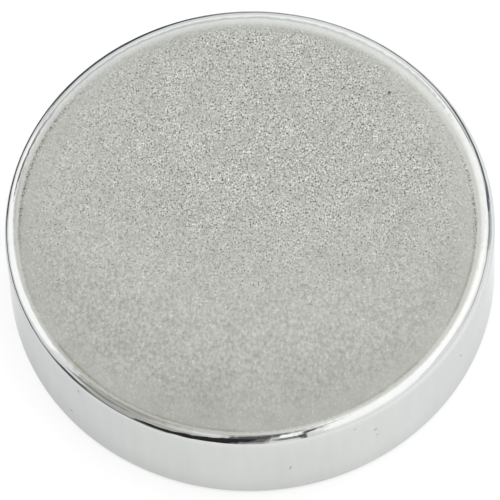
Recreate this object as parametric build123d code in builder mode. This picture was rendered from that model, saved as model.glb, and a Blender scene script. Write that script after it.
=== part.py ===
from build123d import *

import os
from math import cos, radians, sin

os.makedirs("parts", exist_ok=True)

# Disc magnet: one sintered and plated disc, standing on its lower face.
# Lengths are millimetres. The disc's axis is +Z, and the origin is the centre of the lower face.

# Overall size of the disc
disc_diameter = 25.0
disc_thickness = 6.0

# Edge profile, the same on both faces: the flat face rolls off over a shallow shoulder,
# and the shoulder runs tangent into the small rounding that meets the wall
edge_radius = 0.5
shoulder_width = 0.45
shoulder_slope_degrees = 6.0

# Sizes worked out from the ones above
slope = radians(shoulder_slope_degrees)
edge_turn_degrees = 90 - shoulder_slope_degrees
disc_radius = disc_diameter / 2
shoulder_radius = shoulder_width / sin(slope)
shoulder_drop = shoulder_radius * (1 - cos(slope))
edge_setback = edge_radius * (1 - sin(slope))
edge_drop = edge_radius * cos(slope)
flat_radius = disc_radius - edge_setback - shoulder_width
wall_bottom = shoulder_drop + edge_drop

# The disc: one half of its section, followed clockwise from the axis and turned about it
with BuildPart() as magnet_disc:
    with BuildSketch(Plane.XZ):
        with BuildLine():
            upper_face = Line((0, disc_thickness), (flat_radius, disc_thickness))
            upper_shoulder = JernArc(
                start=upper_face @ 1,
                tangent=upper_face % 1,
                radius=shoulder_radius,
                arc_size=-shoulder_slope_degrees,
            )
            upper_edge = JernArc(
                start=upper_shoulder @ 1,
                tangent=upper_shoulder % 1,
                radius=edge_radius,
                arc_size=-edge_turn_degrees,
            )
            wall = Line(upper_edge @ 1, (disc_radius, wall_bottom))
            lower_edge = JernArc(
                start=wall @ 1,
                tangent=wall % 1,
                radius=edge_radius,
                arc_size=-edge_turn_degrees,
            )
            lower_shoulder = JernArc(
                start=lower_edge @ 1,
                tangent=lower_edge % 1,
                radius=shoulder_radius,
                arc_size=-shoulder_slope_degrees,
            )
            lower_face = Line(lower_shoulder @ 1, (0, 0))
            axis_line = Line(lower_face @ 1, upper_face @ 0)
        make_face()
    revolve(axis=Axis.Z)

magnet_disc.part.label = "magnet_disc"
export_step(magnet_disc.part, "parts/magnet_disc.step")
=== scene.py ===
import math

import bpy
import numpy as np
from mathutils import Matrix, Vector


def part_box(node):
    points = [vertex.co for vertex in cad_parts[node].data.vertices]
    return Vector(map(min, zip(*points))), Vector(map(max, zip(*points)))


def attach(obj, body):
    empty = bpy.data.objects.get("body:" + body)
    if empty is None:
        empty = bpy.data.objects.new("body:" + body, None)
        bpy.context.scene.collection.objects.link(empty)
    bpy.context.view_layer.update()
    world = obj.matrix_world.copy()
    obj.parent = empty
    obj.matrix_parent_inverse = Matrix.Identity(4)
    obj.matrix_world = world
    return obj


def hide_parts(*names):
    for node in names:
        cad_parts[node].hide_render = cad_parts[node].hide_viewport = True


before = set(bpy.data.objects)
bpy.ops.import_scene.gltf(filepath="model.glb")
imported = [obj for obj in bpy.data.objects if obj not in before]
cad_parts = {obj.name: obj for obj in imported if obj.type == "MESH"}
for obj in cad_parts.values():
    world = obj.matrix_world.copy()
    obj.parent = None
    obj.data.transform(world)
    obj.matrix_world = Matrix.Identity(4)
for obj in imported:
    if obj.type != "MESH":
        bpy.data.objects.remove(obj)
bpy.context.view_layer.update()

# Disc magnet with a bright nickel plate: satin, grainy faces inside burnished edges, and a bright wall.
# Metres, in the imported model's frame: +Z is the disc's axis, and the lower face lies on the floor at z = 0.
# Turn angles are degrees about +Z: 0 faces the camera along -Y, and 90 faces +X.

MM = 0.001
LOW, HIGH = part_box("magnet_disc")
RADIUS = (HIGH.x - LOW.x) / 2
THICKNESS = HIGH.z - LOW.z

# Edge profile, as in the solid: a shallow shoulder that runs tangent into a small rounding
EDGE_RADIUS = 0.5 * MM
SHOULDER_WIDTH = 0.45 * MM
SHOULDER_SLOPE = math.radians(6.0)
SHOULDER_RADIUS = SHOULDER_WIDTH / math.sin(SHOULDER_SLOPE)
FLAT_RADIUS = RADIUS - EDGE_RADIUS * (1 - math.sin(SHOULDER_SLOPE)) - SHOULDER_WIDTH

# How finely the mesh follows that profile
COLUMNS = 720
FACE_RING_SHARES = (0.3, 0.6, 0.8, 0.9, 0.96, 0.98)
SHOULDER_STEPS = 8
EDGE_STEPS = 22
WALL_STEPS = 8

# Tumbling left the edges slightly uneven: waves per turn, each with its share of the height.
# The lean is how far a wave's phase shifts for each radian of the edge's tilt, at least and at most.
WAVE_HEIGHT = 0.0014 * MM
WAVES = ((11, 0.8), (19, 0.8), (37, 0.7), (59, 0.6), (83, 0.5))
WAVE_LEAN = (2, 6)
WAVE_SEED = 5


def half_profile():
    """Upper half of the section, from the innermost face ring to the top of the wall.

    Each point has its distance from the axis, its height and its normal's tilt from +Z.
    """
    points = [(FLAT_RADIUS * share, THICKNESS, 0.0) for share in FACE_RING_SHARES]
    for step in range(SHOULDER_STEPS):
        tilt = SHOULDER_SLOPE * step / SHOULDER_STEPS
        reach = FLAT_RADIUS + SHOULDER_RADIUS * math.sin(tilt)
        height = THICKNESS - SHOULDER_RADIUS * (1 - math.cos(tilt))
        points.append((reach, height, tilt))
    edge_centre = RADIUS - EDGE_RADIUS
    edge_height = (
        THICKNESS
        - SHOULDER_RADIUS * (1 - math.cos(SHOULDER_SLOPE))
        - EDGE_RADIUS * math.cos(SHOULDER_SLOPE)
    )
    for step in range(EDGE_STEPS + 1):
        tilt = SHOULDER_SLOPE + (math.pi / 2 - SHOULDER_SLOPE) * step / EDGE_STEPS
        reach = edge_centre + EDGE_RADIUS * math.sin(tilt)
        height = edge_height + EDGE_RADIUS * math.cos(tilt)
        points.append((reach, height, tilt))
    return points


def full_profile():
    """The whole section from the upper face, down the wall, to the lower face."""
    upper = half_profile()
    lower = [(reach, THICKNESS - height, math.pi - tilt) for reach, height, tilt in reversed(upper)]
    wall_top = upper[-1][1]
    wall_bottom = lower[0][1]
    wall = []
    for step in range(1, WALL_STEPS):
        height = wall_top + (wall_bottom - wall_top) * step / WALL_STEPS
        wall.append((RADIUS, height, math.pi / 2))
    return np.array(upper + wall + lower)


def edge_waves(turns, tilt):
    """How far the tumbled edges sink below the true section, in rings by columns.

    The faces and the wall don't sink.
    """
    draws = np.random.default_rng(WAVE_SEED)
    sway = np.zeros((len(tilt), len(turns)))
    for count, share in WAVES:
        phase = draws.uniform(0, 2 * math.pi)
        lean = draws.uniform(*WAVE_LEAN)
        sway += share * np.sin(count * turns[None, :] + phase + lean * tilt[:, None])
    depth = sum(share for _, share in WAVES) - sway
    return WAVE_HEIGHT * depth * np.sin(2 * tilt)[:, None] ** 2


def smooth_normals(points):
    """Unit normals of a ring-by-column grid of points that closes on itself across its columns."""
    across = np.roll(points, -1, axis=1) - np.roll(points, 1, axis=1)
    along = np.gradient(points, axis=0)
    normals = np.cross(along, across)
    return normals / np.linalg.norm(normals, axis=2, keepdims=True)


def build_disc():
    """The disc as one closed mesh, turned from the section, with the section's own normals."""
    reach, height, tilt = full_profile().T
    rings = len(reach)
    turns = np.linspace(0, 2 * math.pi, COLUMNS, endpoint=False)
    out = np.stack([np.sin(turns), -np.cos(turns)], axis=1)
    sunk = edge_waves(turns, tilt)
    radial = reach[:, None] - sunk * np.sin(tilt)[:, None]
    heights = height[:, None] - sunk * np.cos(tilt)[:, None]
    points = np.concatenate([radial[..., None] * out[None], heights[..., None]], axis=2)
    top = rings * COLUMNS
    bottom = top + 1
    vertices = np.vstack([points.reshape(-1, 3), [(0, 0, THICKNESS), (0, 0, 0)]])
    normals = np.vstack([smooth_normals(points).reshape(-1, 3), [(0, 0, 1), (0, 0, -1)]])
    faces = []
    for column in range(COLUMNS):
        beside = (column + 1) % COLUMNS
        faces.append((top, column, beside))
        for ring in range(rings - 1):
            here, below = ring * COLUMNS, (ring + 1) * COLUMNS
            faces.append((here + column, below + column, below + beside, here + beside))
        last = (rings - 1) * COLUMNS
        faces.append((bottom, last + beside, last + column))
    mesh = bpy.data.meshes.new("magnet_disc_plated")
    mesh.from_pydata(vertices.tolist(), [], faces)
    mesh.shade_smooth()
    mesh.normals_split_custom_set_from_vertices(normals.tolist())
    disc = bpy.data.objects.new("magnet_disc_plated", mesh)
    bpy.context.scene.collection.objects.link(disc)
    return disc


def direction(turn, lift):
    """Unit vector towards a turn angle and a height above the floor, both in degrees."""
    t, e = math.radians(turn), math.radians(lift)
    return Vector((math.sin(t) * math.cos(e), -math.cos(t) * math.cos(e), math.sin(e)))


# Noise in the materials, and the share of a round mark's size that has its full strength
NOISE_ROUGHNESS = 0.55
NOISE_MEAN = 0.5
SPOT_CORE = 0.3


class Nodes:
    """A short way to add and join the nodes of one material or world."""

    def __init__(self, owner):
        owner.use_nodes = True
        self.tree = owner.node_tree
        self.tree.nodes.clear()

    def add(self, kind, inputs=None, **settings):
        node = self.tree.nodes.new(kind)
        for name, value in settings.items():
            setattr(node, name, value)
        for name, value in (inputs or {}).items():
            socket = node.inputs[name]
            if isinstance(value, bpy.types.NodeSocket):
                self.tree.links.new(value, socket)
            else:
                socket.default_value = value
        return node

    def math(self, operation, first, second=0.5, third=0.5):
        return self.add("ShaderNodeMath", {0: first, 1: second, 2: third}, operation=operation).outputs[0]

    def product(self, *factors):
        total = factors[0]
        for factor in factors[1:]:
            total = self.math("MULTIPLY", total, factor)
        return total

    def mix(self, share, first, second):
        return self.add("ShaderNodeMix", {0: share, 6: first, 7: second}, data_type="RGBA").outputs[2]

    def ramp(self, value, low, high, to_low=0.0, to_high=1.0):
        inputs = {"Value": value, "From Min": low, "From Max": high, "To Min": to_low, "To Max": to_high}
        return self.add("ShaderNodeMapRange", inputs, interpolation_type="SMOOTHSTEP").outputs["Result"]

    def distance(self, place, point):
        return self.add("ShaderNodeVectorMath", {0: place, 1: point}, operation="DISTANCE").outputs["Value"]

    def near(self, place, point, whole, none):
        """1 within one distance of a point, and fading to 0 at another."""
        return self.ramp(self.distance(place, point), whole, none, 1.0, 0.0)

    def band(self, value, middle, width):
        """1 where a value is at its middle, and fading to 0 at a width on either side."""
        off = self.math("ABSOLUTE", self.math("SUBTRACT", value, middle))
        return self.ramp(off, 0.0, width, 1.0, 0.0)

    def scaled(self, colour, factor):
        return self.add("ShaderNodeVectorMath", {0: colour, "Scale": factor}, operation="SCALE").outputs[0]

    def stretched(self, place, shares):
        return self.add("ShaderNodeVectorMath", {0: place, 1: shares}, operation="MULTIPLY").outputs[0]

    def spots(self, place, marks):
        """Round marks that fade outwards: each has its centre, its size and its strength."""
        total = 0.0
        for centre, size, strength in marks:
            near = self.ramp(self.distance(place, centre), SPOT_CORE * size, size, strength, 0.0)
            total = self.math("MAXIMUM", near, total)
        return total

    def noise(self, place, size, detail=2.0):
        """Cloudy noise around zero, with blobs of one size."""
        inputs = {"Vector": place, "Scale": 1 / size, "Detail": detail, "Roughness": NOISE_ROUGHNESS}
        return self.math("SUBTRACT", self.add("ShaderNodeTexNoise", inputs).outputs["Fac"], NOISE_MEAN)


# Nickel plate: bright where it is burnished, and a satin grain on the faces
PLATE_FRONT_COLOUR = (0.628, 0.640, 0.621, 1.0)
PLATE_COLOUR = (0.639, 0.650, 0.644, 1.0)
SHOULDER_COLOUR = (0.664, 0.669, 0.640, 1.0)
FACE_COLOUR = (0.450, 0.455, 0.421, 1.0)
STAIN_COLOUR = (0.27, 0.23, 0.17, 1.0)
GRAZING_TINT = (0.83, 0.84, 0.84, 1.0)
PLATE_ROUGHNESS = 0.07
FACE_ROUGHNESS = 0.38
# Share of the face that scatters light like a matt surface
FACE_SCATTER = 0.55
# Distances from the axis between which the shoulder's colour sets in
SHOULDER_TINT = (RADIUS - 0.25 * MM, RADIUS - 0.52 * MM)
# Shares of the radius towards the back between which the front's colour ends; that front colour is a painted
# reflection tint, a little warmer and darker
PLATE_FRONT = (-0.95, -0.75)
# Grain of the faces: sizes of its blobs, and how strongly each size shows
GRAIN_STRETCH = (1.0, 0.80, 1.0)
GRAIN_SIZE = 0.082 * MM
SOFT_GRAIN_STRETCH = (1.0, 0.68, 1.0)
SOFT_GRAIN_SIZE = 0.155 * MM
PATCH_SIZE = 0.7 * MM
MOTTLE_SIZE = 2.5 * MM
GRAIN_HEIGHT = 0.004 * MM
GRAIN_CONTRAST = 2.75
SOFT_GRAIN_CONTRAST = 0.98
SOFT_GRAIN_UNDER_SHARP = 0.45
PATCH_CONTRAST = 0.20
MOTTLE_CONTRAST = 0.14
PATCH_SHARPNESS = 2.2
FRONT_CALM = (-7.0 * MM, -11.0 * MM)
FRONT_CALM_SHARE = 0.6
SHADE_LIMITS = (0.15, 1.9)
# The darkest blobs are pits and the lightest are flecks, or painted sparkles that stand for glints where the
# grain is soft:
# levels of the noise between which they set in, and their strength
PIT_LEVELS = (-0.12, -0.22)
PIT_DEPTH = 1.0
FLECK_LEVELS = (0.11, 0.21)
FLECK_LIGHT = 0.12
SPARKLE_LEVELS = (0.13, 0.21)
SPARKLE_LIGHT = 0.45
SPARKLES_END = 0.6
# Small dents that tumbling left along the rim
DENT_SIZE = 0.36 * MM
DENT_HEIGHT = 0.004 * MM
DENTS_START = RADIUS - 0.03 * MM
# Drawn-out streaks of the wall, a painted shade that is darker at the left and lighter at the right, and the
# wall's brightness against the rim
STREAK_STRETCH = (1.0, 1.0, 0.12)
STREAK_SIZE = 0.6 * MM
STREAK_CONTRAST = 0.09
SIDE_SHADES = (0.935, 1.09)
WALL_SHADE = 1.015
WALL_STARTS = RADIUS - 0.1 * MM
# A painted shade makes the wall darker at its far left
LEFT_SHADE = 0.86
LEFT_SHADE_REACH = (0.1 * MM - RADIUS, 1.9 * MM - RADIUS)
# The grain ends in a circle set off towards the front left, so the burnished rim is widest at the back right.
# Its end is softer towards the back, between two shares of the radius.
GRAIN_RADIUS = RADIUS - 0.77 * MM
GRAIN_SHIFT = 0.22 * MM
GRAIN_SHIFT_TURN = -32
GRAIN_EDGE_FADE = (0.10 * MM, 0.22 * MM)
GRAIN_EDGE_SOFTENS = (-0.2, 1.0)
GRAIN_EDGE_RAGGED = 0.10 * MM
# Inside that border the grain calms down, over a zone that is narrower towards the back
GRAIN_CALMS_OVER = (1.9 * MM, 0.55 * MM)
CALM_ZONE_NARROWS = (0.3, 1.0)
CALMEST = 0.3
# The satin finish reaches a little further out than the grain
SATIN_END = RADIUS - 0.40 * MM
# A soft olive line runs along that border, everywhere but at the back and in a gap at the front
BORDER_COLOUR = (0.443, 0.434, 0.365, 1.0)
BORDER_INSET = 0.10 * MM
BORDER_WIDTH = 0.13 * MM
BORDER_DARKNESS = 0.21
BORDER_BREAKS = (0.25, -0.1)
BORDER_GAP_TURN = 12
BORDER_GAP = (2.0 * MM, 5.0 * MM)
BORDER_BACK_TURN = 165
BORDER_BACK_GAP = (11.5 * MM, 15.0 * MM)
# Dark nicks follow the line in two places: turn angle, and the distances over which they fade out
NICK_DEPTH = 0.55
NICK_LEVELS = (0.0, -0.10)
NICK_WIDTH = 0.22 * MM
NICK_PLACES = (
    (-116, 3.2 * MM, 5.6 * MM),
    (94, 1.6 * MM, 3.6 * MM),
)
# A painted shade makes the burnished rim darker in a stripe just outside that border, along the right
STRIPE_OUTSET = 0.10 * MM
STRIPE_WIDTH = 0.17 * MM
STRIPE_TURN = 68
STRIPE_REACH = (6.5 * MM, 13.0 * MM)
STRIPE_DARKNESS = 0.26
# A painted shade makes the face a little darker along its front
FRONT_PAINTED_SHADE = 0.09
PAINTED_SHADE_CENTRE = (0.5 * MM, 4.5 * MM, 0)
PAINTED_SHADE_FADE = (10.3 * MM, 14.2 * MM)
# A painted light makes it a little lighter near the rim at the right
RIM_LIGHT = 0.07
RIM_LIGHT_OVER = 1.5 * MM
RIM_LIGHT_TURN = 85
RIM_LIGHT_FADE = (7.0 * MM, 14.0 * MM)
# The grain is sharp at the back and worn soft towards the front, the sides and the rim
GRAIN_SHARP_BACK = 3.0 * MM
GRAIN_SOFT_FRONT = -9.0 * MM
GRAIN_SHARP_CENTRE = (2.5 * MM, 4.0 * MM, 0)
GRAIN_WEAR = (4.5 * MM, 13.0 * MM)
GRAIN_WORN = 0.5
# A darker patch and pits in the wall: turn angle, height, size and strength
WALL_PITS = (
    (9.0, 2.2 * MM, 4.0 * MM, 0.035),
    (-74.5, 3.3 * MM, 0.10 * MM, 0.35),
    (-50.0, 1.75 * MM, 0.12 * MM, 0.50),
    (-46.7, 5.0 * MM, 0.13 * MM, 0.50),
    (6.3, 2.65 * MM, 0.09 * MM, 0.35),
    (6.4, 2.76 * MM, 0.09 * MM, 0.45),
    (6.5, 2.90 * MM, 0.09 * MM, 0.40),
    (22.2, 5.05 * MM, 0.13 * MM, 0.20),
    (27.6, 3.9 * MM, 0.16 * MM, 0.35),
    (28.1, 3.2 * MM, 0.14 * MM, 0.20),
    (56.3, 3.4 * MM, 0.13 * MM, 0.45),
    (55.6, 3.7 * MM, 0.12 * MM, 0.40),
    (66.5, 2.1 * MM, 0.18 * MM, 0.20),
    (118.0, 2.2 * MM, 0.14 * MM, 0.35),
    (151.0, 4.1 * MM, 0.11 * MM, 0.40),
    (-102.0, 1.4 * MM, 0.12 * MM, 0.35),
    (-140.0, 3.6 * MM, 0.15 * MM, 0.30),
    (-171.0, 2.0 * MM, 0.11 * MM, 0.40),
)
# Deep pits, a patch of painted shade near the front and a rust-brown stain on the faces: place, size and
# strength
FACE_PITS = (
    ((7.54 * MM, 7.05 * MM, 0), 0.13 * MM, 0.75),
    ((6.58 * MM, 1.42 * MM, 0), 0.12 * MM, 0.55),
)
FACE_PATCHES = (((-3.9 * MM, -10.6 * MM, 0), 3.4 * MM, 0.06),)
FACE_STAINS = (((6.26 * MM, 1.49 * MM, 0), 0.20 * MM, 0.55),)


class Surface:
    """Places on the disc, and the noises there, that its finishes share."""

    def __init__(self, nodes):
        self.place = nodes.add("ShaderNodeTexCoord").outputs["Object"]
        self.x, self.y, _ = nodes.add("ShaderNodeSeparateXYZ", {0: self.place}).outputs
        self.flat = nodes.add("ShaderNodeCombineXYZ", {0: self.x, 1: self.y}).outputs[0]
        self.reach = nodes.distance(self.flat, (0, 0, 0))
        self.backness = nodes.math("DIVIDE", self.y, RADIUS)
        self.fine = nodes.noise(nodes.stretched(self.place, GRAIN_STRETCH), GRAIN_SIZE)
        self.soft = nodes.noise(nodes.stretched(self.place, SOFT_GRAIN_STRETCH), SOFT_GRAIN_SIZE)
        self.patch = nodes.noise(self.place, PATCH_SIZE)
        self.mottle = nodes.noise(self.place, MOTTLE_SIZE)

        # How far a place lies past the border of the grain, and how softly the grain ends there
        shift = GRAIN_SHIFT * direction(GRAIN_SHIFT_TURN, 0)
        past = nodes.math("SUBTRACT", nodes.distance(self.flat, shift), GRAIN_RADIUS)
        self.past = nodes.math("MULTIPLY_ADD", self.soft, GRAIN_EDGE_RAGGED, past)
        self.fade = nodes.ramp(self.backness, *GRAIN_EDGE_SOFTENS, *GRAIN_EDGE_FADE)

        # How calm the grain is along its border, and how sharp it is in all
        calms_over = nodes.ramp(self.backness, *CALM_ZONE_NARROWS, *GRAIN_CALMS_OVER)
        self.calm = nodes.ramp(nodes.math("DIVIDE", self.past, calms_over), -1.0, 0.0, 1.0, CALMEST)
        self.sharp = nodes.product(
            nodes.ramp(self.y, GRAIN_SOFT_FRONT, GRAIN_SHARP_BACK),
            nodes.ramp(nodes.distance(self.flat, GRAIN_SHARP_CENTRE), *GRAIN_WEAR, 1.0, GRAIN_WORN),
            nodes.math("MULTIPLY_ADD", self.patch, PATCH_SHARPNESS, 1.0),
            self.calm,
        )


def grain_and_painted_light(nodes, at):
    """Light and dark of the grain around zero, from its fine blobs to its broad mottle, with a painted shade
    along the front, painted sparkles and a painted light near the rim at the right.
    """
    softness = nodes.product(
        nodes.ramp(at.sharp, 0.0, 1.0, SOFT_GRAIN_CONTRAST, SOFT_GRAIN_UNDER_SHARP),
        nodes.ramp(at.y, *FRONT_CALM, 1.0, FRONT_CALM_SHARE),
    )
    grain = nodes.product(at.fine, GRAIN_CONTRAST, at.sharp)
    grain = nodes.math("MULTIPLY_ADD", at.soft, nodes.product(softness, at.calm), grain)
    grain = nodes.math("MULTIPLY_ADD", at.patch, PATCH_CONTRAST, grain)
    grain = nodes.math("MULTIPLY_ADD", at.mottle, MOTTLE_CONTRAST, grain)
    front_shade = nodes.ramp(nodes.distance(at.flat, PAINTED_SHADE_CENTRE), *PAINTED_SHADE_FADE, 0.0, -FRONT_PAINTED_SHADE)
    flecks = nodes.product(nodes.ramp(at.fine, *FLECK_LEVELS), at.sharp, FLECK_LIGHT)
    sparkles = nodes.product(
        nodes.ramp(at.fine, *SPARKLE_LEVELS),
        nodes.ramp(at.sharp, 0.0, SPARKLES_END, 1.0, 0.0),
        SPARKLE_LIGHT,
    )
    rim_light = nodes.product(
        nodes.ramp(at.past, -RIM_LIGHT_OVER, 0.0),
        nodes.near(at.flat, RADIUS * direction(RIM_LIGHT_TURN, 0), *RIM_LIGHT_FADE),
        RIM_LIGHT,
    )
    # The painted shade along the front, the painted sparkles and the painted light near the rim are added to
    # the grain here
    for light in (front_shade, flecks, sparkles, rim_light):
        grain = nodes.math("ADD", grain, light)
    return grain


def border_line(nodes, at):
    """Share of the olive line along the border of the grain."""
    from_gap = nodes.distance(at.flat, GRAIN_RADIUS * direction(BORDER_GAP_TURN, 0))
    from_back = nodes.distance(at.flat, GRAIN_RADIUS * direction(BORDER_BACK_TURN, 0))
    return nodes.product(
        nodes.band(at.past, -BORDER_INSET, BORDER_WIDTH),
        nodes.ramp(at.mottle, *BORDER_BREAKS),
        nodes.ramp(from_gap, *BORDER_GAP),
        nodes.ramp(from_back, *BORDER_BACK_GAP),
    )


def face_darkening(nodes, at, line):
    """How much the border line, the pits, the nicks and a patch of painted shade near the front darken the
    face.
    """
    pits = nodes.product(nodes.ramp(at.fine, *PIT_LEVELS), at.sharp, PIT_DEPTH)
    pits = nodes.math("MAXIMUM", pits, nodes.spots(at.flat, FACE_PITS))
    nicked = 0.0
    for turn, whole, none in NICK_PLACES:
        near = nodes.near(at.flat, GRAIN_RADIUS * direction(turn, 0), whole, none)
        nicked = nodes.math("MAXIMUM", near, nicked)
    nicks = nodes.product(
        nodes.band(at.past, -BORDER_INSET, NICK_WIDTH),
        nodes.ramp(at.fine, *NICK_LEVELS),
        nicked,
        NICK_DEPTH,
    )
    darker = nodes.math("MULTIPLY_ADD", line, BORDER_DARKNESS, nodes.math("MAXIMUM", pits, nicks))
    return nodes.math("ADD", darker, nodes.spots(at.flat, FACE_PATCHES))


def grained_face(nodes, at):
    """Colour of the satin face, with its grain, painted shade and light, border line, pits, nicks and stain.
    """
    line = border_line(nodes, at)
    shade = nodes.math("ADD", grain_and_painted_light(nodes, at), 1.0)
    shade = nodes.math("SUBTRACT", shade, face_darkening(nodes, at, line))
    darkest, lightest = SHADE_LIMITS
    shade = nodes.math("MINIMUM", nodes.math("MAXIMUM", shade, darkest), lightest)
    colour = nodes.scaled(nodes.mix(line, FACE_COLOUR, BORDER_COLOUR), shade)
    return nodes.mix(nodes.spots(at.flat, FACE_STAINS), colour, STAIN_COLOUR)


def bright_plate(nodes, at):
    """Colour of the burnished rim and the wall, with their painted shades, a painted reflection tint at the
    front, a stripe of painted shade, streaks and pits.
    """
    # Off the wall a place counts as further right, so the painted shade at the far left is on the wall only
    across = nodes.math("ADD", at.x, nodes.ramp(at.reach, RADIUS, WALL_STARTS, 0.0, RADIUS))
    # Painted shade: darker at the left and at the wall's far left, lighter at the right
    painted_shade_and_marks = nodes.product(
        nodes.ramp(at.x, -RADIUS, RADIUS, *SIDE_SHADES),
        nodes.ramp(at.reach, WALL_STARTS, RADIUS, 1.0, WALL_SHADE),
        nodes.ramp(across, *LEFT_SHADE_REACH, LEFT_SHADE, 1.0),
    )
    stripe = nodes.product(
        nodes.band(at.past, STRIPE_OUTSET, STRIPE_WIDTH),
        nodes.near(at.flat, GRAIN_RADIUS * direction(STRIPE_TURN, 0), *STRIPE_REACH),
        STRIPE_DARKNESS,
    )
    streak = nodes.noise(nodes.stretched(at.place, STREAK_STRETCH), STREAK_SIZE)
    pits = [
        (RADIUS * direction(turn, 0) + Vector((0, 0, height)), size, strength)
        for turn, height, size, strength in WALL_PITS
    ]
    painted_shade_and_marks = nodes.math("SUBTRACT", painted_shade_and_marks, stripe)
    painted_shade_and_marks = nodes.math("MULTIPLY_ADD", streak, STREAK_CONTRAST, painted_shade_and_marks)
    painted_shade_and_marks = nodes.math("SUBTRACT", painted_shade_and_marks, nodes.spots(at.place, pits))
    # The front of the plate takes a painted reflection tint, a little warmer and darker
    plate = nodes.mix(nodes.ramp(at.backness, *PLATE_FRONT), PLATE_FRONT_COLOUR, PLATE_COLOUR)
    plate = nodes.mix(nodes.ramp(at.reach, *SHOULDER_TINT), plate, SHOULDER_COLOUR)
    return nodes.scaled(plate, painted_shade_and_marks)


def fine_relief(nodes, at, face):
    """Bumps of the grain on the faces and of the dents on the rim."""
    rim = nodes.math("SUBTRACT", nodes.ramp(at.reach, RADIUS, DENTS_START), face)
    rim = nodes.math("MAXIMUM", rim, 0.0)
    dents = nodes.product(nodes.noise(at.place, DENT_SIZE, detail=0.0), rim, DENT_HEIGHT)
    height = nodes.math("ADD", nodes.product(at.fine, face, at.sharp, GRAIN_HEIGHT), dents)
    return nodes.add("ShaderNodeBump", {"Strength": 1.0, "Distance": 1.0, "Height": height}).outputs["Normal"]


def nickel_plate():
    """Bright nickel: a near mirror, but satin and grainy on the faces inside the burnished rim."""
    material = bpy.data.materials.new("nickel_plate")
    nodes = Nodes(material)
    at = Surface(nodes)
    face = nodes.ramp(nodes.math("DIVIDE", at.past, at.fade), -1.0, 1.0, 1.0, 0.0)
    satin_start = nodes.math("SUBTRACT", at.reach, nodes.math("ADD", at.past, at.fade))
    satin = nodes.ramp(at.reach, satin_start, SATIN_END, 1.0, 0.0)
    finish = {
        "Base Color": nodes.mix(face, bright_plate(nodes, at), grained_face(nodes, at)),
        "Metallic": nodes.ramp(face, 0.0, 1.0, 1.0, 1.0 - FACE_SCATTER),
        "Roughness": nodes.ramp(satin, 0.0, 1.0, PLATE_ROUGHNESS, FACE_ROUGHNESS),
        "Specular Tint": GRAZING_TINT,
        "Normal": fine_relief(nodes, at, face),
    }
    shader = nodes.add("ShaderNodeBsdfPrincipled", finish)
    nodes.add("ShaderNodeOutputMaterial", {"Surface": shader.outputs[0]})
    return material


# Studio: a pale floor, a soft dome of light, and panels that the bright edges mirror
FLOOR_RADIUS = 1.2
FLOOR_SIDES = 96
FLOOR_COLOUR = (0.45, 0.45, 0.45, 1.0)
# The floor's own glow, which sets in under the disc's edge
FLOOR_GLOW = 0.63
GLOW_STARTS = RADIUS - 0.55 * MM
GLOW_FULL = RADIUS - 0.05 * MM
# A painted shadow dims the floor's glow close to the disc, most of all at the front left; camera rays see the
# glow undimmed, so the wall's mirror image shows it
FOOT_SHADE = 0.80
FOOT_REACH = (RADIUS - 0.5 * MM, RADIUS + 0.75 * MM)
FOOT_SHIFT = 0.35 * MM
FOOT_SHIFT_TURN = -30
# Brightness of the dome by the sine of the lift
DOME_LEVELS = ((0.0, 1.0), (0.72, 1.0), (0.80, 1.20), (0.86, 1.20), (0.89, 0.98), (0.95, 0.88), (1.0, 0.80))
# Panels: the largest step of their meshes in degrees, how far the first one stands, and by what share of that
# distance each one stands nearer than the one before
PANEL_STEP = 3.0
PANEL_DISTANCE = 60 * RADIUS
PANEL_SPACING = 0.01
NEUTRAL = (1.0, 1.0, 1.0)
COOL = (0.93, 0.99, 1.06)
PALE_BLUE = (0.97, 1.0, 1.03)
WARM = (1.03, 1.0, 0.93)
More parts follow.
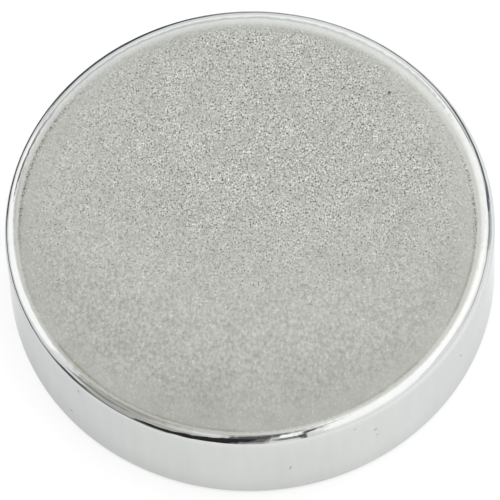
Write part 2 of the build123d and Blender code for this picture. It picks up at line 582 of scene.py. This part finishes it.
# The nearest panel is last. Each has its brightness, tint, width of the soft border in degrees,
# and rows of a lift with its two turn angles.
PANELS = {
    "softbox_right_skirt": (1.16, NEUTRAL, 6, ((8, 19, 56), (40, 21, 72))),
    "softbox_right_back": (
        1.25, NEUTRAL, 5,
        ((42, 104, 138), (47, 100, 164), (53, 96, 168), (62, 92, 168)),
    ),
    "softbox_right": (
        1.37, NEUTRAL, 3,
        (
            (31, 20, 60), (45, 21, 78), (55, 25, 104), (60, 29, 155),
            (67, 33, 164), (74, 38, 170), (82, 60, 160),
        ),
    ),
    "softbox_left_feather": (
        1.12, NEUTRAL, 5,
        (
            (2, -126, -92), (20, -106, -79), (30, -100, -75), (40, -100, -76),
            (50, -106, -82), (60, -122, -95), (70, -160, -118),
        ),
    ),
    "softbox_left": (
        1.53, NEUTRAL, 5,
        (
            (5, -142, -106), (20, -147, -91), (30, -150, -84), (40, -148, -84),
            (50, -144, -89), (58, -145, -100), (68, -152, -118),
        ),
    ),
    "shade_left_back": (
        0.72, NEUTRAL, 2.5,
        ((55, -159, -150), (59, -167, -153), (64, -169, -154), (72, -172, -145)),
    ),
    "shade_right_back": (0.80, NEUTRAL, 4, ((57, 167, 181), (69, 166, 181))),
    "band_back": (1.22, PALE_BLUE, 3, ((37, -200, -150), (53, -200, -158))),
    "bar_back": (0.72, PALE_BLUE, 1, ((50.3, -186, -158), (54.3, -188, -158))),
    "bar_right_back": (0.76, PALE_BLUE, 1, ((52.5, 163, 174), (55, 163, 177), (57, 164, 175))),
    "bar_left_back": (
        0.26, NEUTRAL, 1.5,
        ((34, -141, -132), (40, -147, -136), (45, -153, -140), (50, -159, -147), (54, -165, -154)),
    ),
    "grey_card_left": (0.38, WARM, 8, ((30, -78, -53), (42, -82, -51), (58, -88, -50), (64, -92, -52))),
    "grey_card_left_high": (
        0.58, WARM, 8,
        ((58, -90, -52), (66, -108, -54), (71, -145, -58), (80, -165, -62)),
    ),
    "shade_left_high": (
        0.46, WARM, 2.5,
        ((71, -177, -60), (73.5, -172, -61), (76, -160, -63), (79, -150, -66)),
    ),
    "grey_card_left_front": (
        0.60, WARM, 4,
        ((-5, -68, -44), (20, -69, -43), (30, -65, -37), (40, -59, -41), (52, -57, -45), (62, -57, -49)),
    ),
    "soft_panel_front": (0.62, WARM, 4, ((27, -43, -29), (44, -48, -25), (56, -50, -22), (64, -54, -19))),
    "bright_panel_front": (
        0.88, NEUTRAL, 4,
        ((55, -40, -20), (63, -46, -18), (72, -58, -16), (76, -66, -20), (80, -92, -25), (86, -130, -36)),
    ),
    "bright_spot_front": (
        1.12, NEUTRAL, 3,
        ((70, -40, -28), (77, -50, -32), (82, -80, -40), (86, -130, -60)),
    ),
    "grey_card_front_low": (0.50, NEUTRAL, 4, ((-8, -14, 3), (22, -12, 5))),
    "grey_card_front": (0.17, NEUTRAL, 4, ((16, -12, 3.6), (30, -11, 4.4), (44, -9, 5.2), (64, -6, 9))),
    "dark_card_front": (
        0.03, NEUTRAL, 3,
        (
            (-6, -46, -8), (10, -46, -7), (20, -45, -6), (25, -41, -5),
            (30, -34, -4), (40, -30, -2), (50, -26, 0), (62, -18, 3),
        ),
    ),
    "pale_gap_front": (0.32, NEUTRAL, 1, ((2, -8.2, -6.2), (28, -7.6, -5.8))),
    "grey_strip_front": (0.30, NEUTRAL, 2, ((19, 3, 17), (46, 4, 17))),
    "dark_card_overhead": (
        0.11, NEUTRAL, 3,
        ((58, -18, 7), (70, -18, 10), (77, -22, 15), (83, -31, 27), (88, -62, 100)),
    ),
    "dark_card_zenith": (0.11, NEUTRAL, 2, ((81, 160, 206), (86, 135, 210), (90, 110, 215))),
    "window_strip": (
        1.42, NEUTRAL, 2,
        ((44, 5.5, 15), (55, 6.5, 18), (62, 7.5, 20), (70, 8.5, 24), (77, 16, 32), (81, 23, 41)),
    ),
    "dark_strip_front": (
        0.10, NEUTRAL, 1,
        (
            (0, 14, 17), (30, 13, 17.5), (45, 14, 18), (55, 16.5, 21.5),
            (65, 19, 29), (72, 23.5, 36.5), (77, 30, 48), (80, 40, 62),
        ),
    ),
    "dark_strip_left": (0.12, NEUTRAL, 2, ((-4, -77, -61), (14, -76, -62))),
    "grey_card_right": (0.62, COOL, 3, ((4, 106, 151), (20, 106, 145), (36, 110, 134), (44, 119, 134))),
    "grey_streak_right": (0.50, COOL, 2, ((33, 138, 147), (37, 140, 158), (42, 143, 156), (48, 146, 153))),
    "dark_line_right": (0.42, COOL, 2, ((25.5, 92, 118), (34.5, 78, 118))),
    "dark_line_right_back": (0.28, COOL, 2, ((25, 111, 125), (34, 111, 125))),
    "dark_strip_right": (0.16, COOL, 1.5, ((8, 120, 129), (20, 119, 129), (30, 120, 128), (42, 124, 131))),
    "dark_strip_right_low": (
        0.16, COOL, 2,
        ((-4, 135, 151), (4, 129, 148), (10, 126, 144), (18, 125, 143), (29, 125, 134)),
    ),
    "dark_card_back": (0.10, COOL, 2, ((-4, -171, -146), (11, -171, -146))),
}
# The softboxes that also light the floor and the matt share of the faces
FLOOR_LIGHTS = ("softbox_right", "softbox_right_back")
# A soft belt close to the disc draws the thin dark lines along its edge.
# It has rows of a turn angle, two lifts and a brightness, and its foot is sunk in the floor in places.
EDGE_BELT = (
    (119, 0, 5, 0.45),
    (127, -4.5, 6, 0.07),
    (138, -7, 4.5, 0.08),
    (148, -9, 2.5, 0.12),
    (157, -10, 2, 0.40),
    (172, -13, 2.5, 0.45),
    (184, -16, 4, 0.38),
    (189, -19.5, 4, 0.16),
    (196, -19.5, 3.5, 0.06),
    (207, -19.5, 4.5, 0.12),
    (214, -19.5, 3.5, 0.11),
    (222, -19.5, -1, 0.07),
    (230, -19.5, -3, 0.05),
    (242, -19.5, -2.5, 0.05),
    (249, -19.5, -2, 0.08),
    (257, -16, -2.5, 0.34),
    (262, -13.5, -2.5, 0.34),
    (272, -12, -1.5, 0.20),
    (281, -11.2, -1, 0.17),
    (291, -10.3, 0.5, 0.50),
    (296, -9.9, 4.5, 0.14),
    (304, -9.2, 5.5, 0.12),
    (310, -8.5, 4.5, 0.33),
    (318, -7.6, 2, 0.35),
    (326, -6.8, 2, 0.22),
    (336, -6, 1, 0.40),
)
EDGE_BELT_DISTANCE = 1.7 * RADIUS
# Width of its soft border and of the window that smooths it, in degrees
EDGE_BELT_BORDER = 3.0
EDGE_BELT_SMOOTHING = 7


def glowing(name, brightness, tint, border):
    """A panel finish that fades out towards the panel's sides.

    Without a brightness it has the levels of the mesh.
    """
    material = bpy.data.materials.new(name)
    nodes = Nodes(material)
    margins = nodes.add("ShaderNodeAttribute", attribute_name="margins").outputs
    sides = nodes.add("ShaderNodeSeparateColor", {0: margins["Color"]}).outputs
    nearest = nodes.math("MINIMUM", sides[2], margins["Alpha"])
    nearest = nodes.math("MINIMUM", nodes.math("MINIMUM", sides[0], sides[1]), nearest)
    if brightness is None:
        brightness = nodes.add("ShaderNodeAttribute", attribute_name="level").outputs["Fac"]
    glow = nodes.add("ShaderNodeEmission", {"Color": (*tint, 1), "Strength": brightness})
    clear = nodes.add("ShaderNodeBsdfTransparent")
    solid = nodes.ramp(nearest, 0.0, border)
    both = nodes.add("ShaderNodeMixShader", {0: solid, 1: clear.outputs[0], 2: glow.outputs[0]})
    nodes.add("ShaderNodeOutputMaterial", {"Surface": both.outputs[0]})
    return material


def build_panel(name, pairs, distance, brightness, tint, border, levels=None):
    """A curved studio panel that faces the disc, ruled between pairs of turn and lift angles.

    Each vertex knows how many degrees it lies from the four sides. The camera doesn't see the panel, and the
    plating does.
    """
    pairs = np.array(pairs, float)
    rows = []
    for here, there in zip(pairs[:-1], pairs[1:]):
        steps = math.ceil(np.abs(there - here).max() / PANEL_STEP)
        rows += [here + (there - here) * step / steps for step in range(steps)]
    rows = np.array([*rows, pairs[-1]])
    spans = np.abs(rows[:, 1] - rows[:, 0]).max(axis=1)
    along = np.abs(np.diff(rows.mean(axis=1), axis=0)).max(axis=1)
    run = np.concatenate([[0], np.cumsum(along)])
    columns = math.ceil(spans.max() / PANEL_STEP) + 1
    centre = Vector((0, 0, THICKNESS))
    vertices = []
    margins = []
    for (one, other), span, done in zip(rows, spans, run):
        for share in np.linspace(0, 1, columns):
            vertices.append(centre + distance * direction(*(one + (other - one) * share)))
            margins += [span * share, span * (1 - share), done, run[-1] - done]
    faces = []
    for row in range(len(rows) - 1):
        for low in range(row * columns, row * columns + columns - 1):
            faces.append((low, low + 1, low + columns + 1, low + columns))
    mesh = bpy.data.meshes.new(name)
    mesh.from_pydata(vertices, [], faces)
    mesh.attributes.new("margins", "FLOAT_COLOR", "POINT").data.foreach_set("color", margins)
    if levels is not None:
        mesh.attributes.new("level", "FLOAT", "POINT").data.foreach_set("value", np.repeat(levels, columns))
    mesh.materials.append(glowing(name, brightness, tint, border))
    panel = bpy.data.objects.new(name, mesh)
    bpy.context.scene.collection.objects.link(panel)
    panel.visible_camera = False
    panel.visible_diffuse = name in FLOOR_LIGHTS
    panel.visible_shadow = False


def build_edge_belt():
    """The belt round the back and the left of the disc, one row a degree, with its rows smoothed."""
    turns, *lines = np.array(EDGE_BELT).T
    steps = np.arange(turns[0], turns[-1] + 1)
    window = np.ones(EDGE_BELT_SMOOTHING) / EDGE_BELT_SMOOTHING
    lines = [np.pad(np.interp(steps, turns, line), EDGE_BELT_SMOOTHING // 2, "edge") for line in lines]
    lows, highs, levels = (np.convolve(line, window, "valid") for line in lines)
    pairs = [((turn, low), (turn, high)) for turn, low, high in zip(steps, lows, highs)]
    build_panel("edge_belt", pairs, EDGE_BELT_DISTANCE, None, COOL, EDGE_BELT_BORDER, levels)


def build_floor():
    """A round white floor that takes the disc's shadow and stays white away from it."""
    material = bpy.data.materials.new("floor")
    nodes = Nodes(material)
    path = nodes.add("ShaderNodeLightPath").outputs
    seen = nodes.math("MAXIMUM", path["Is Camera Ray"], path["Is Glossy Ray"])
    seen = nodes.math("MAXIMUM", seen, path["Is Transmission Ray"])
    place = nodes.add("ShaderNodeTexCoord").outputs["Object"]
    reach = nodes.add("ShaderNodeVectorMath", {0: place}, operation="LENGTH").outputs["Value"]
    # Painted shadow in the floor's glow near the disc, for all but camera rays
    foot = nodes.distance(place, FOOT_SHIFT * direction(FOOT_SHIFT_TURN, 0))
    foot = nodes.ramp(foot, *FOOT_REACH, FOOT_SHADE, 1.0)
    foot = nodes.math("MAXIMUM", foot, path["Is Camera Ray"])
    strength = nodes.product(seen, foot, nodes.ramp(reach, GLOW_STARTS, GLOW_FULL, 0.0, FLOOR_GLOW))
    matt = nodes.add("ShaderNodeBsdfDiffuse", {"Color": FLOOR_COLOUR})
    glow = nodes.add("ShaderNodeEmission", {"Strength": strength})
    both = nodes.add("ShaderNodeAddShader", {0: matt.outputs[0], 1: glow.outputs[0]})
    nodes.add("ShaderNodeOutputMaterial", {"Surface": both.outputs[0]})
    bpy.ops.mesh.primitive_circle_add(
        vertices=FLOOR_SIDES,
        radius=FLOOR_RADIUS,
        fill_type="NGON",
        location=(0, 0, LOW.z),
    )
    floor = bpy.context.object
    floor.name = "floor"
    floor.data.materials.append(material)


def build_dome():
    """White light from all round: even at the sides, brighter in a ring high up and dimmer overhead."""
    world = bpy.data.worlds.new("dome")
    bpy.context.scene.world = world
    nodes = Nodes(world)
    place = nodes.add("ShaderNodeTexCoord").outputs["Generated"]
    rise = nodes.add("ShaderNodeSeparateXYZ", {0: place}).outputs["Z"]
    ramp = nodes.add("ShaderNodeValToRGB", {"Fac": rise})
    stops = ramp.color_ramp.elements
    while len(stops) < len(DOME_LEVELS):
        stops.new(0.5)
    for stop, (position, level) in zip(stops, DOME_LEVELS):
        stop.position = position
        stop.color = (level, level, level, 1)
    light = nodes.add("ShaderNodeBackground", {"Color": ramp.outputs["Color"], "Strength": 1.0})
    nodes.add("ShaderNodeOutputWorld", {"Surface": light.outputs[0]})


# Camera, fitted to the photograph's outline in its 500 x 500 frame. The focal length is in pixels of that
# frame, the sensor is in millimetres, and the clip shares are of the camera's distance.
PICTURE = 500
CAMERA_DISTANCE = 30 * RADIUS
CAMERA_LIFT = 62.85
CAMERA_ROLL = -3.1
FOCAL_PIXELS = 7308.0
CENTRE_PIXEL = (250.94, 248.93)
SENSOR = 36.0
CLIP_SHARES = (0.1, 10)


def build_camera():
    """The photograph's view: from the front, well above the disc, with a slight roll."""
    data = bpy.data.cameras.new("camera")
    camera = bpy.data.objects.new("camera", data)
    bpy.context.scene.collection.objects.link(camera)
    bpy.context.scene.camera = camera
    back = direction(0, CAMERA_LIFT)
    centre = Vector((0, 0, THICKNESS / 2))
    level = (-back).to_track_quat("-Z", "Y").to_matrix()
    turn = level @ Matrix.Rotation(math.radians(CAMERA_ROLL), 3, "Z")
    right, up = turn.col[0], turn.col[1]
    metres = CAMERA_DISTANCE / FOCAL_PIXELS
    across = (PICTURE / 2 - CENTRE_PIXEL[0]) * metres
    along = (CENTRE_PIXEL[1] - PICTURE / 2) * metres
    camera.matrix_world = turn.to_4x4()
    camera.location = centre + CAMERA_DISTANCE * back + across * right + along * up
    data.sensor_width = SENSOR
    data.lens = FOCAL_PIXELS / PICTURE * SENSOR
    data.clip_start, data.clip_end = (share * CAMERA_DISTANCE for share in CLIP_SHARES)


disc = build_disc()
disc.data.materials.append(nickel_plate())
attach(disc, "root")
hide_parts("magnet_disc")

build_floor()
build_dome()
for place, (name, (brightness, tint, border, rows)) in enumerate(PANELS.items()):
    pairs = [((left, lift), (right, lift)) for lift, left, right in rows]
    build_panel(name, pairs, PANEL_DISTANCE * (1 - PANEL_SPACING * place), brightness, tint, border)
build_edge_belt()
build_camera()
bpy.context.scene.view_settings.view_transform = "Standard"
